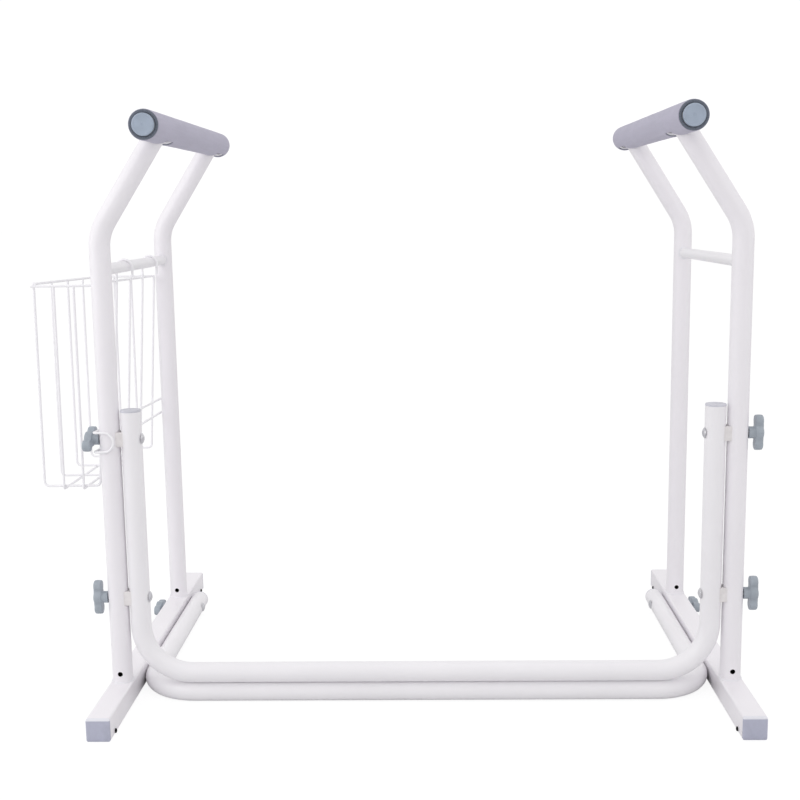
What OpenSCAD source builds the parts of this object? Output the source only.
// Free-standing toilet safety frame with wire magazine basket.
// Units are millimetres. +Z is up, -Y (front) is the side with the two floor bars,
// +X is the right-hand side frame.
// Origin: on the floor, below the centre of the overall bounding box (within 2 mm).
// The frame's own middle plane is at X = mid_x, because the basket makes the left side wider.

/* [Overall] */
// Half the distance between the two foot rail centre lines
rail_x = 337; // [325:1:345]
// Foot rail length including its end plugs
rail_length = 500; // [470:1:520]
// Foot rail width and height
rail_size = 25; // [25:0.5:26]
// Foot rail wall thickness
rail_wall = 1.2; // [1.2:0.1:2]

/* [Uprights] */
// Outside diameter of the round tubes
tube_d = 22.2; // [22.2:0.1:22.4]
// Wall thickness of the round tubes
tube_wall = 1.2; // [1:0.1:2]
// Distance of each upright in front of or behind the centre of the rail
upright_y = 146; // [142:1:150]
// Height at which the straight and the leaning parts of an upright meet
bend_z = 519.7; // [505:0.1:525]
// Radius of the bend near the top of an upright
bend_r = 52; // [45:1:80]
// Diameter of the vent hole low on each upright
vent_d = 5.6; // [4:0.1:7]
// Height of the vent hole above the floor
vent_z = 35.5; // [34:0.5:50]

/* [Hand rails] */
// Half the distance between the two hand rail centre lines
handle_x = 268.4; // [262:0.1:275]
// Height of the hand rail centre line, half-way along it
handle_z = 627.2; // [618:0.1:640]
// Slope of the hand rails in degrees, rising towards the rear
handle_tilt = 0.5; // [0:0.1:1.5]
// Front end of the foam grip, measured forward from the centre
grip_front = 212; // [205:1:220]
// Rear end of the foam grip, measured back from the centre
grip_rear = 198; // [190:1:212]
// Outside diameter of the foam grip
grip_d = 31; // [30:0.5:36]
// How far the grip's slots run on behind each upright
slot_back = 20; // [14:1:30]
// How far the front notch runs on behind its upright
notch_front = 30; // [26:1:40]
// How far the rear notch runs on behind its upright
notch_rear = 44; // [30:1:48]
// Inner edge of the notches, measured from the tube's axis
notch_in = 8.6; // [6:0.1:10]
// Outer edge of the notches, measured from the tube's axis
notch_out = 12.7; // [8:0.1:13]

/* [Side crossbars] */
// Diameter of the thin bar between the uprights
crossbar_d = 12.7; // [12:0.1:12.8]
// Height of the thin bar
crossbar_z = 480.8; // [478:0.1:484]

/* [Upper cross frame] */
// Half the distance between the two leg centre lines
leg_x = 313.3; // [311.5:0.1:313.4]
// Height of the top of the legs without their plugs
leg_top = 329; // [322:1:340]
// Height of the floor bar's centre line
upper_bar_z = 33.4; // [33.4:0.1:38]
// Radius of the corners
upper_bend_r = 55; // [45:1:60]
// Height of the upper bolts
bolt_hi_z = 299.5; // [296:0.5:302]
// Height of the lower bolts
bolt_lo_z = 121.5; // [115:0.5:140]

/* [Lower cross frame] */
// How far the floor bar stands in front of the centre
lower_bar_y = 144.5; // [140:0.5:156]
// Height of the lower cross frame's axis above the floor
lower_z = 11.15; // [11.15:0.05:11.2]
// Radius of the corners
lower_bend_r = 56; // [50:1:74]
// Rear end of the legs without their plugs
lower_leg_end = 168; // [160:1:190]
// Position of the front rail bolts, measured forward from the centre
rail_bolt_front = 61; // [50:1:65]
// Position of the rear rail bolts, measured back from the centre
rail_bolt_rear = 133; // [115:1:140]

/* [Knobs and bolts] */
// Bolt shank diameter
bolt_d = 6; // [6:0.1:6.4]
// Bolt head diameter
head_d = 12; // [11:0.5:15]
// Height of the domed bolt head
head_h = 2.6; // [2:0.1:4.5]
// Wing span of a knob
wing_span = 38; // [34:0.5:40]
// Thickness of a knob's wings
wing_t = 8.4; // [8:0.1:11.2]
// Radial clearance between a bolt and its knob nut
thread_gap = 0.05; // [0.02:0.01:0.1]

/* [Basket] */
// Basket wire diameter
wire_d = 2.8; // [2.6:0.1:2.8]
// Outer side of the basket, measured from the middle plane
basket_out = 421.5; // [415:0.1:423]
// Inner side of the basket at the rim
basket_in_top = 346.2; // [346.2:0.1:346.6]
// Inner side of the basket at its floor
basket_in_bottom = 359; // [356:0.5:364]
// Height of the rim
basket_top = 462; // [458:0.5:464]
// Height of the basket floor
basket_floor = 237; // [225:1:245]
// Front loop, measured forward from the centre
basket_front = 111; // [108:0.5:112]
// Distance between neighbouring loops
loop_pitch = 60; // [59:0.5:60]
// Tip of the hanging basket in degrees, front end up
basket_tip = 1.2; // [0:0.1:1.5]

/* [Hidden] */
$fn = 96;
mid_x = 30;
gap = 0.02; // between pieces that touch
seat_gap = 0.1; // between bolt heads, knobs and tubes and what they bear on
overcut = 1; // how far a cut runs past the surface it opens

tube_radius = tube_d / 2;
bore_radius = tube_radius - tube_wall;
wire_radius = wire_d / 2;
wire_step = wire_d + gap; // axis distance of two wires lying against each other
crossbar_radius = crossbar_d / 2;
crossbar_top = crossbar_z + crossbar_radius;

rail_z = rail_size / 2;
rail_inner_x = rail_x - rail_size / 2;
rail_outer_x = rail_x + rail_size / 2;
rail_corner = 2;
post_outer_x = rail_x + tube_radius;
lower_leg_x = rail_inner_x - tube_radius - seat_gap;
cross_y = -upright_y;

plug_flange = 3;
plug_fit = 0.05; // radial clearance of a round plug in its tube
screw_z = 3.4;
screw_inset = 20; // plug screw from the end of the foot rail
bolt_hole_d = bolt_d + 0.6;
post_bolt_heights = [bolt_hi_z, bolt_lo_z];
rail_bolt_places = [-rail_bolt_front, rail_bolt_rear];

frame_color = [0.93, 0.93, 0.94];
upper_frame_color = [0.94, 0.94, 0.95];
grip_color = [0.62, 0.63, 0.66];
handle_plug_color = [0.60, 0.64, 0.70];
foot_plug_color = [0.64, 0.65, 0.72];
screw_color = [0.08, 0.08, 0.09];
upper_plug_color = [0.78, 0.78, 0.80];
lower_plug_color = [0.82, 0.82, 0.85];
spacer_color = [0.88, 0.86, 0.80];
bolt_color = [0.74, 0.75, 0.77];
knob_color = [0.61, 0.63, 0.67];
nut_color = [0.80, 0.66, 0.36];

// ---------- placing ----------
// Throughout, side = 1 is right and -1 left; end = -1 is front and 1 rear.

// Moves a piece drawn about the frame's middle plane into place
module placed() translate([mid_x, 0, 0]) children();

// Places a piece drawn for the right on either side
module on_side(side) {
  placed() {
    if (side > 0) children();
    else mirror([1, 0, 0]) children();
  }
}

module both_sides() for (side = [-1, 1]) on_side(side) children();

// Stands a flat drawing up in the XZ plane at Y = y, its local Y upwards
module in_xz_plane(y) translate([0, y, 0]) rotate([90, 0, 0]) children();

// Turns local +Z outwards at the front or rear end
module face_end(end) rotate([-90 * end, 0, 0]) children();

// ---------- bent bars and tubes ----------

function direction(from, to) = (to - from) / norm(to - from);

// Signed angle by which the path turns at point i
function turn_at(path, i) =
  let (before = direction(path[i - 1], path[i]), after = direction(path[i], path[i + 1]))
  atan2(cross(before, after), before * after);

// Length that the bend at point i takes off each adjoining straight; 0 at the path's ends
function setback(path, i, bend_radius) =
  i > 0 && i < len(path) - 1 ? bend_radius * tan(abs(turn_at(path, i)) / 2) : 0;

// Turns local +Z to a heading in the XY plane
module along(heading) {
  rotate([0, 0, atan2(heading[1], heading[0])]) rotate([0, 90, 0]) children();
}

// Part of a ring in the XY plane, made of round bar
module arc(ring_radius, radius, angle) {
  rotate_extrude(angle = angle, $fn = 96)
    translate([ring_radius, 0]) circle(r = radius, $fn = 48);
}

// Hair-thin ring that closes the joint between two lengths of bar
module collar(center, heading, radius) {
  translate(center) along(heading) cylinder(r = radius + 0.03, h = 0.8, center = true, $fn = 48);
}

// Round bar along a flat path in the local XY plane, with bent corners
module bar_path(path, radius, bend_radius) {
  for (i = [0 : len(path) - 2]) {
    heading = direction(path[i], path[i + 1]);
    start = setback(path, i, bend_radius);
    end = setback(path, i + 1, bend_radius);
    translate(path[i] + heading * start) along(heading)
      cylinder(r = radius, h = norm(path[i + 1] - path[i]) - start - end, $fn = 48);
  }
  for (i = [1 : 1 : len(path) - 2]) {
    turn = turn_at(path, i);
    before = direction(path[i - 1], path[i]);
    after = direction(path[i], path[i + 1]);
    cut = setback(path, i, bend_radius);
    bend_start = path[i] - before * cut;
    inward = turn > 0 ? [-before[1], before[0]] : [before[1], -before[0]];
    start_angle = atan2(-inward[1], -inward[0]);
    translate(bend_start + inward * bend_radius)
      rotate([0, 0, turn > 0 ? start_angle : start_angle + turn])
        arc(bend_radius, radius, abs(turn));
    // only bends that aren't right angles need their joints closed
    if (abs(abs(turn) - 90) > 0.01) {
      collar(bend_start, before, radius);
      collar(path[i] + after * cut, after, radius);
    }
  }
}

// Frame tube along a flat path; the bore runs on past both ends so it cuts cleanly
module tube_path(path, bend_radius) {
  last = len(path) - 1;
  bore_path = concat(
    [path[0] - overcut * direction(path[0], path[1])],
    [for (i = [1 : 1 : last - 1]) path[i]],
    [path[last] + overcut * direction(path[last - 1], path[last])]
  );
  difference() {
    bar_path(path, tube_radius, bend_radius);
    bar_path(bore_path, bore_radius, bend_radius);
  }
}

module rounded_square(size, corner) {
  square([size - 2 * corner, size], center = true);
  square([size, size - 2 * corner], center = true);
  for (x = [-1, 1], y = [-1, 1])
    translate([x * (size / 2 - corner), y * (size / 2 - corner)]) circle(r = corner, $fn = 48);
}

// Cutter for a round hole along X
module x_hole(from_x, to_x, y, z, d) {
  translate([from_x, y, z]) rotate([0, 90, 0]) cylinder(d = d, h = to_x - from_x, $fn = 48);
}

// Bolt hole through a round tube whose axis passes X = x
module tube_bolt_hole(x, y, z) {
  reach = tube_radius + 2;
  x_hole(x - reach, x + reach, y, z, bolt_hole_d);
}

// ---------- side frames, drawn for the right ----------

// Height of the hand rail's centre line at Y = y
function handle_height(y) = handle_z + y * tan(handle_tilt);

// Inward lean of the top of the upright that meets the hand rail at Y = y
function lean(y) = atan((rail_x - handle_x) / (handle_height(y) - bend_z));

// Tips a piece drawn along a level hand rail to the hand rail's slope
module tilted() {
  translate([0, 0, handle_z]) rotate([handle_tilt, 0, 0]) translate([0, 0, -handle_z]) children();
}

// Lays local +Z forwards along the level hand rail's axis, starting at Y = y
module on_handle(y) translate([handle_x, y, handle_z]) rotate([90, 0, 0]) children();

module foot_rail() {
  bore_size = rail_size - 2 * rail_wall;
  screw_y = rail_length / 2 - screw_inset;
  color(frame_color) difference() {
    translate([rail_x, rail_length / 2 - plug_flange, rail_z]) rotate([90, 0, 0])
      linear_extrude(rail_length - 2 * plug_flange) rounded_square(rail_size, rail_corner);
    translate([rail_x, rail_length / 2, rail_z]) rotate([90, 0, 0])
      linear_extrude(rail_length) square(bore_size, center = true);
    for (y = rail_bolt_places)
      x_hole(rail_inner_x - overcut, rail_outer_x + overcut, y, rail_z, bolt_hole_d);
    for (end = [-1, 1])
      x_hole(rail_inner_x - overcut, rail_inner_x + rail_wall + 0.5, end * screw_y, screw_z, 3.2);
  }
}

// Straight part, bend and leaning part of one upright, at Y = y
module upright(y) {
  saddle_length = 60;
  block = [50, 50, 40];
  color(frame_color) difference() {
    in_xz_plane(y)
      tube_path([[rail_x, rail_size], [rail_x, bend_z], [handle_x, handle_height(y)]], bend_r);
    // room for the hand rail
    tilted() on_handle(y + saddle_length / 2) cylinder(r = tube_radius + gap, h = saddle_length);
    // everything beyond the hand rail's centre line
    translate([handle_x, y, handle_height(y)]) rotate([0, -lean(y), 0])
      translate([-block[0] / 2, -block[1] / 2, 0]) cube(block);
    // vent hole in the front wall
    translate([rail_x, y, vent_z]) rotate([90, 0, 0])
      cylinder(d = vent_d, h = tube_radius + 2, $fn = 48);
    // only the front uprights are bolted to the upper cross frame
    if (y < 0) for (z = post_bolt_heights) tube_bolt_hole(rail_x, y, z);
  }
}

// Thin tube whose ends are hollowed to fit the uprights
module side_crossbar() {
  wall = 1.2;
  cutter_height = 40;
  color(frame_color) difference() {
    translate([rail_x, upright_y, crossbar_z]) rotate([90, 0, 0]) difference() {
      cylinder(r = crossbar_radius, h = 2 * upright_y, $fn = 64);
      translate([0, 0, -overcut])
        cylinder(r = crossbar_radius - wall, h = 2 * (upright_y + overcut), $fn = 64);
    }
    for (y = [-upright_y, upright_y])
      translate([rail_x, y, crossbar_z - cutter_height / 2])
        cylinder(r = tube_radius + gap, h = cutter_height);
  }
}

// Ends 1 mm short of the grip at both ends
module handle_tube() {
  inset = 1;
  length = grip_front + grip_rear - 2 * inset;
  color(frame_color) tilted() on_handle(grip_rear - inset) difference() {
    cylinder(r = tube_radius, h = length);
    translate([0, 0, -overcut]) cylinder(r = bore_radius, h = length + 2 * overcut);
  }
}

// Foam sleeve, slotted where each upright comes up into it
module handle_grip() {
  length = grip_front + grip_rear;
  color(grip_color) difference() {
    tilted() difference() {
      on_handle(grip_rear) cylinder(d = grip_d, h = length);
      on_handle(grip_rear + overcut) cylinder(r = tube_radius + 0.2, h = length + 2 * overcut);
    }
    for (y = [-upright_y, upright_y])
      translate([handle_x, y, handle_height(y)]) rotate([0, 180 - lean(y), 0]) grip_slot();
    // behind the slots the sleeve stays notched straight below the tube
    for (notch = [[-upright_y, notch_front], [upright_y, notch_rear]])
      translate([handle_x - notch_in, notch[0], handle_height(notch[0]) - grip_cut_depth])
        grip_notch(notch[1]);
  }
}

grip_cut_depth = 26;

// Round-ended slot cutter, drawn along the upright's axis
module grip_slot() {
  radius = tube_radius + 0.7;
  start_y = -1;
  end_y = slot_back - tube_radius;
  for (y = [start_y, end_y]) translate([0, y, 0]) cylinder(r = radius, h = grip_cut_depth);
  translate([-radius, start_y, 0]) cube([2 * radius, end_y - start_y, grip_cut_depth]);
}

// Notch cutter with its two rear corners rounded
module grip_notch(length) {
  width = notch_in + notch_out;
  corner = 4;
  cube([width, length - corner, grip_cut_depth]);
  translate([corner, 0, 0]) cube([width - 2 * corner, length, grip_cut_depth]);
  for (x = [corner, width - corner])
    translate([x, length - corner, 0]) cylinder(r = corner, h = grip_cut_depth, $fn = 48);
}

// Cap with a rounded edge and a hollow stub inside the hand rail
module handle_plug(end) {
  cap = 3.5;
  edge = 1; // radius of the cap's edge
  lap = 0.96; // how far the cap reaches back over the tube end, inside the grip's end
  stub = 22;
  cap_radius = tube_radius + 0.1;
  color(handle_plug_color) tilted()
    translate([handle_x, end < 0 ? -grip_front : grip_rear, handle_z]) face_end(end)
      rotate_extrude() difference() {
        union() {
          translate([0, -stub]) square([bore_radius - plug_fit, stub - lap + 0.01]);
          translate([0, -lap]) square([cap_radius, cap - edge + lap]);
          square([cap_radius - edge, cap]);
          translate([cap_radius - edge, cap - edge]) circle(r = edge, $fn = 32);
        }
        // keeps the profile on one side of the axis
        translate([-5, -30]) square([5, 40]);
        // hollow of the stub
        translate([0, -stub - overcut]) square([bore_radius - 2, 18]);
      }
}

// Stepped square cap with a hollow stub inside the foot rail
module foot_plug(end) {
  stub_size = rail_size - 2 * rail_wall - 0.1;
  stub = 28;
  edge = 0.8; // step round the cap's outer face
  color(foot_plug_color)
    translate([rail_x, end * (rail_length / 2 - plug_flange), rail_z]) face_end(end)
      difference() {
        union() {
          linear_extrude(plug_flange - edge) rounded_square(rail_size, rail_corner);
          linear_extrude(plug_flange) rounded_square(rail_size - 2 * edge, 1.6);
          translate([0, 0, -stub]) linear_extrude(stub + 0.5) square(stub_size, center = true);
        }
        translate([0, 0, -stub - overcut]) linear_extrude(24) square(stub_size - 5, center = true);
        // pilot hole of the plug screw, in the wall towards the middle
        translate([-stub_size / 2 - overcut, -end * (screw_z - rail_z), plug_flange - screw_inset])
          rotate([0, 90, 0]) cylinder(d = 2.5, h = 4.4, $fn = 32);
      }
}

// Small domed screw through the rail's inner wall into each foot plug
module plug_screw(end) {
  shank = 4;
  screw_head_d = 4.8;
  slot = [2.4, 0.5, 3];
  color(screw_color)
    translate([rail_inner_x, end * (rail_length / 2 - screw_inset), screw_z]) rotate([0, -90, 0]) {
      translate([0, 0, -shank]) cylinder(d = 2.4, h = shank + 0.3, $fn = 32);
      difference() {
        union() {
          cylinder(d = screw_head_d, h = 1.1, $fn = 48);
          intersection() {
            translate([0, 0, -2.2]) sphere(r = 4.1, $fn = 64);
            cylinder(d = screw_head_d, h = 3, $fn = 48);
          }
        }
        // cross recess
        for (angle = [0, 90])
          rotate([0, 0, angle]) translate([-slot[0] / 2, -slot[1] / 2, 1]) cube(slot);
      }
    }
}

// ---------- cross frames ----------

// Path of a U-shaped frame with legs at X = -x and x
function u_path(x, bar, leg_end) = [[-x, leg_end], [-x, bar], [x, bar], [x, leg_end]];

// Upright U bolted to the front uprights
module upper_cross_frame() {
  color(upper_frame_color) placed() difference() {
    in_xz_plane(cross_y) tube_path(u_path(leg_x, upper_bar_z, leg_top), upper_bend_r);
    for (side = [-1, 1], z = post_bolt_heights) tube_bolt_hole(side * leg_x, cross_y, z);
  }
}

// Flat U on the floor, bolted to the foot rails
module lower_cross_frame() {
  color(frame_color) placed() difference() {
    translate([0, 0, lower_z])
      tube_path(u_path(lower_leg_x, -lower_bar_y, lower_leg_end), lower_bend_r);
    for (side = [-1, 1], y = rail_bolt_places) tube_bolt_hole(side * lower_leg_x, y, rail_z);
  }
}

// Round tube plug along +Z: cap above the tube end at Z = 0, hollow stub below it
module tube_plug(domed) {
  cap = 2.2;
  edge = 0.8; // radius of the cap's edge
  stub = 14;
  cap_radius = tube_radius + 0.05;
  face_radius = tube_radius - edge;
  dome_radius = 28;
  dome_rise = 2;
  difference() {
    union() {
      translate([0, 0, -stub]) cylinder(r = bore_radius - plug_fit, h = stub + 0.5, $fn = 96);
      cylinder(r = cap_radius, h = cap - edge, $fn = 96);
      cylinder(r = face_radius, h = cap, $fn = 96);
      translate([0, 0, cap - edge]) rotate_extrude($fn = 96)
        translate([cap_radius - edge, 0]) circle(r = edge, $fn = 32);
      if (domed) intersection() {
        translate([0, 0, cap + dome_rise - dome_radius]) sphere(r = dome_radius, $fn = 128);
        translate([0, 0, cap - 0.5]) cylinder(r = face_radius, h = 4, $fn = 96);
      }
    }
    translate([0, 0, -stub - overcut]) cylinder(r = bore_radius - 2, h = 13, $fn = 96);
  }
}

module upper_frame_plugs() {
  color(upper_plug_color) placed() for (side = [-1, 1])
    translate([side * leg_x, cross_y, leg_top]) tube_plug(domed = false);
}

module lower_frame_plugs() {
  color(lower_plug_color) placed() for (side = [-1, 1])
    translate([side * lower_leg_x, lower_leg_end, lower_z]) face_end(1) tube_plug(domed = true);
}

// Saddle between a leg and its upright, hollowed to both tubes
module leg_spacer() {
  size = [10, 16, 16];
  difference() {
    translate(-size / 2) cube(size);
    for (side = [-1, 1])
      translate([side * (rail_x - leg_x) / 2, 0, -20]) cylinder(r = tube_radius + gap, h = 40);
    x_hole(-10, 10, 0, 0, bolt_hole_d);
  }
}

module leg_spacers() {
  color(spacer_color) placed() for (side = [-1, 1], z = post_bolt_heights)
    translate([side * (leg_x + rail_x) / 2, cross_y, z]) leg_spacer();
}

// ---------- bolts, knobs and nuts ----------

// Bolt along +X: its domed head bears on the tube at X = tube_x, its tip passes the knob's seat
module bolt(tube_x, seat_x, y, z) {
  head_x = tube_x - tube_radius - seat_gap; // underside of the head
  tip_x = seat_x + 10.4;
  dome_radius = (head_d * head_d / 4 + head_h * head_h) / (2 * head_h);
  translate([head_x, y, z]) rotate([0, 90, 0]) {
    cylinder(d = bolt_d, h = tip_x - head_x, $fn = 64);
    intersection() {
      translate([0, 0, dome_radius - head_h]) sphere(r = dome_radius, $fn = 96);
      translate([0, 0, -head_h - 1]) cylinder(d = head_d, h = head_h + 1, $fn = 64);
    }
  }
}

module upper_frame_bolts() {
  color(bolt_color) both_sides()
    for (z = post_bolt_heights) bolt(leg_x, post_outer_x, cross_y, z);
}

module rail_bolts() {
  color(bolt_color) both_sides()
    for (y = rail_bolt_places) bolt(lower_leg_x, rail_outer_x, y, rail_z);
}

// Knobs and nuts are drawn with the bolt axis along +Z and the knob's hub face at Z = 0
nut_z = 4;
nut_d = 10;
nut_h = 6;

// Wing knob, its wings along X
module knob() {
  wing_z = 6.8;
  tip_d = 12.4;
  bar_length = wing_span - 12;
  bar_width = 10.8;
  color(knob_color) difference() {
    union() {
      cylinder(d = 13, h = 7.6, $fn = 64);
      translate([0, 0, wing_z]) cylinder(d = 16.5, h = wing_t, $fn = 64);
      translate([-bar_length / 2, -bar_width / 2, wing_z])
        cube([bar_length, bar_width, wing_t - 1.2]);
      for (wing = [-1, 1])
        translate([wing * (wing_span - tip_d) / 2, 0, wing_z])
          cylinder(d = tip_d, h = wing_t, $fn = 64);
      translate([0, 0, wing_z + wing_t]) cylinder(d1 = 15, d2 = 11, h = 0.6, $fn = 64);
    }
    // blind bolt hole and the seat of the nut
    translate([0, 0, -overcut]) cylinder(d = bolt_d + 0.8, h = 12.6, $fn = 64);
    translate([0, 0, nut_z]) cylinder(d = nut_d, h = nut_h, $fn = 6);
  }
}

module nut() {
  color(nut_color) translate([0, 0, nut_z]) difference() {
    cylinder(d = nut_d, h = nut_h, $fn = 6);
    translate([0, 0, -overcut])
      cylinder(r = bolt_d / 2 + thread_gap, h = nut_h + 2 * overcut, $fn = 64);
  }
}

// Puts a knob or nut on its bolt, turned about the bolt's axis
module on_bolt(side, seat_x, y, z, turn) {
  on_side(side) translate([seat_x + seat_gap, y, z])
    rotate([0, 90, 0]) rotate([0, 0, turn]) children();
}

// Wings are upright on the posts unless turned, and level on the rails
module on_post(side, z, turn = 0) on_bolt(side, post_outer_x, cross_y, z, turn) children();
module on_rail(side, y) on_bolt(side, rail_outer_x, y, rail_z, 90) children();

top_left_turn = -65;

// ---------- basket, drawn for the left with X measured from the middle plane ----------

basket_rear = -basket_front + 4 * loop_pitch;
rear_hook_y = -basket_front + 3 * loop_pitch;
front_wire_y = -basket_front - wire_step;
rear_wire_y = basket_rear + wire_step;

// Tips the hanging basket about its rear hook
module hung() {
  placed() translate([0, rear_hook_y, crossbar_top]) rotate([-basket_tip, 0, 0])
    translate([0, -rear_hook_y, -crossbar_top]) children();
}

// How much lower a hook is set at Y = y, so that both hooks rest on the bar
function hook_drop(y) = (rear_hook_y - y) * tan(basket_tip);

// U-shaped loop at Y = y, its inner end stopping at Z = inner_top
module loop(y, inner_top) {
  in_xz_plane(y) bar_path([
    [-basket_out, basket_top + wire_radius],
    [-basket_out, basket_floor],
    [-basket_in_bottom, basket_floor],
    [-basket_in_top, inner_top]
  ], wire_radius, 5);
}

// Loop with its inner end carried up and hooked over the side crossbar
module hanger_loop(y) {
  hook_radius = basket_in_top - rail_x;
  hook_z = crossbar_top + wire_radius + gap - hook_radius - hook_drop(y);
  hook_end_z = 466;
  free_end_x = -rail_x + hook_radius;
  overlap = 0.2;
  up = [0, 1];
  loop(y, basket_top);
  in_xz_plane(y) {
    translate([-basket_in_top, basket_top - overlap, 0]) rotate([-90, 0, 0])
      cylinder(r = wire_radius, h = hook_z - basket_top + overlap, $fn = 48);
    collar([-basket_in_top, basket_top], up, wire_radius + 0.02);
    translate([-rail_x, hook_z, 0]) arc(hook_radius, wire_radius, 180);
    translate([free_end_x, hook_z, 0]) rotate([90, 0, 0])
      cylinder(r = wire_radius, h = hook_z - hook_end_z, $fn = 48);
    for (x = [-basket_in_top, free_end_x]) collar([x, hook_z], up, wire_radius);
  }
}

module basket_loops() {
  color(frame_color) hung() for (i = [0, 2, 4])
    loop(-basket_front + i * loop_pitch, basket_top + wire_radius);
}

module basket_hanger_loops() {
  color(frame_color) hung() for (i = [1, 3]) hanger_loop(-basket_front + i * loop_pitch);
}

// Side wires lie inside the loops; the rear runs just behind the last loop
module basket_rim() {
  outer_x = -basket_out + wire_step;
  inner_x = -basket_in_top - wire_d - 0.1;
  front_y = -basket_front - wire_d - 1.5;
  color(frame_color) hung() translate([0, 0, basket_top]) bar_path([
    [outer_x, front_y],
    [outer_x, rear_wire_y],
    [inner_x, rear_wire_y],
    [inner_x, front_y]
  ], wire_radius, 3.5);
}

module basket_front_wire() {
  outer_overhang = 2.4;
  inner_overhang = 2.8;
  length = basket_out - basket_in_top + outer_overhang + inner_overhang;
  color(frame_color) hung()
    translate([-basket_out - outer_overhang, front_wire_y, basket_top - wire_step])
      rotate([0, 90, 0]) cylinder(r = wire_radius, h = length, $fn = 48);
}

// Lengthwise wires below the loops, turned up at the front and rear
module basket_floor_wires() {
  floor_z = basket_floor - wire_step;
  color(frame_color) hung() for (x = [-399, -377])
    translate([x, 0, 0]) rotate([90, 0, 90]) bar_path([
      [front_wire_y, basket_top - 2 * wire_step + wire_radius],
      [front_wire_y, floor_z],
      [rear_wire_y, floor_z],
      [rear_wire_y, basket_top - wire_radius - gap]
    ], wire_radius, wire_step);
}

// Spring wire: two runs past the basket's inner side, wrapped round both uprights
// and closed by a half-round end at each
module basket_retainer() {
  run_x = -post_outer_x - wire_radius - 1.6;
  wrap_y = upright_y + tube_radius + wire_radius + 0.2;
  front_x = -341;
  rear_x = front_x + 1.2;
  front_heights = [308.2, 286.9]; // of the upper and the lower run
  rear_heights = [296.2, 278];
  color(frame_color) placed() {
    for (i = [0, 1]) {
      slope = atan((rear_heights[i] - front_heights[i]) / (2 * wrap_y));
      reach = wrap_y / cos(slope);
      translate([0, 0, (front_heights[i] + rear_heights[i]) / 2]) rotate([slope, 0, 0])
        bar_path([[front_x, -reach], [run_x, -reach], [run_x, reach], [rear_x, reach]],
          wire_radius, 3);
    }
    half_round(front_x, -wrap_y, front_heights);
    half_round(rear_x, wrap_y, rear_heights);
  }
}

// Half ring in the XZ plane joining two heights, open towards -X, with its joint collars
module half_round(x, y, heights) {
  ring_radius = (heights[0] - heights[1]) / 2;
  translate([x, y, (heights[0] + heights[1]) / 2]) rotate([90, 0, 0]) {
    rotate([0, 0, -90]) arc(ring_radius, wire_radius, 180);
    for (i = [-1, 1]) collar([0, i * ring_radius], [1, 0], wire_radius + 0.01);
  }
}

// ---------- nodes made from the shared pieces ----------

module foot_rail_left() on_side(-1) foot_rail();
module foot_rail_right() on_side(1) foot_rail();
module front_upright_left() on_side(-1) upright(-upright_y);
module front_upright_right() on_side(1) upright(-upright_y);
module rear_upright_left() on_side(-1) upright(upright_y);
module rear_upright_right() on_side(1) upright(upright_y);
module side_crossbar_left() on_side(-1) side_crossbar();
module side_crossbar_right() on_side(1) side_crossbar();
module handle_tube_left() on_side(-1) handle_tube();
module handle_tube_right() on_side(1) handle_tube();
module handle_grip_left() on_side(-1) handle_grip();
module handle_grip_right() on_side(1) handle_grip();
module handle_plug_front_left() on_side(-1) handle_plug(-1);
module handle_plug_rear_left() on_side(-1) handle_plug(1);
module handle_plug_front_right() on_side(1) handle_plug(-1);
module handle_plug_rear_right() on_side(1) handle_plug(1);
module foot_plug_front_left() on_side(-1) foot_plug(-1);
module foot_plug_rear_left() on_side(-1) foot_plug(1);
module foot_plug_front_right() on_side(1) foot_plug(-1);
module foot_plug_rear_right() on_side(1) foot_plug(1);
module foot_plug_screws() both_sides() for (end = [-1, 1]) plug_screw(end);
module knob_post_top_left() on_post(-1, bolt_hi_z, top_left_turn) knob();
module knob_post_bottom_left() on_post(-1, bolt_lo_z) knob();
module knob_post_top_right() on_post(1, bolt_hi_z) knob();
module knob_post_bottom_right() on_post(1, bolt_lo_z) knob();
module knob_rail_front_left() on_rail(-1, -rail_bolt_front) knob();
module knob_rail_rear_left() on_rail(-1, rail_bolt_rear) knob();
module knob_rail_front_right() on_rail(1, -rail_bolt_front) knob();
module knob_rail_rear_right() on_rail(1, rail_bolt_rear) knob();
module nut_post_top_left() on_post(-1, bolt_hi_z, top_left_turn) nut();
module nut_post_bottom_left() on_post(-1, bolt_lo_z) nut();
module nut_post_top_right() on_post(1, bolt_hi_z) nut();
module nut_post_bottom_right() on_post(1, bolt_lo_z) nut();
module nut_rail_front_left() on_rail(-1, -rail_bolt_front) nut();
module nut_rail_rear_left() on_rail(-1, rail_bolt_rear) nut();
module nut_rail_front_right() on_rail(1, -rail_bolt_front) nut();
module nut_rail_rear_right() on_rail(1, rail_bolt_rear) nut();

foot_rail_left();
foot_rail_right();
front_upright_left();
front_upright_right();
rear_upright_left();
rear_upright_right();
side_crossbar_left();
side_crossbar_right();
handle_tube_left();
handle_tube_right();
handle_grip_left();
handle_grip_right();
handle_plug_front_left();
handle_plug_rear_left();
handle_plug_front_right();
handle_plug_rear_right();
foot_plug_front_left();
foot_plug_rear_left();
foot_plug_front_right();
foot_plug_rear_right();
foot_plug_screws();
upper_cross_frame();
upper_frame_plugs();
lower_cross_frame();
lower_frame_plugs();
leg_spacers();
upper_frame_bolts();
rail_bolts();
knob_post_top_left();
knob_post_bottom_left();
knob_post_top_right();
knob_post_bottom_right();
knob_rail_front_left();
knob_rail_rear_left();
knob_rail_front_right();
knob_rail_rear_right();
nut_post_top_left();
nut_post_bottom_left();
nut_post_top_right();
nut_post_bottom_right();
nut_rail_front_left();
nut_rail_rear_left();
nut_rail_front_right();
nut_rail_rear_right();
basket_rim();
basket_front_wire();
basket_loops();
basket_hanger_loops();
basket_floor_wires();
basket_retainer();
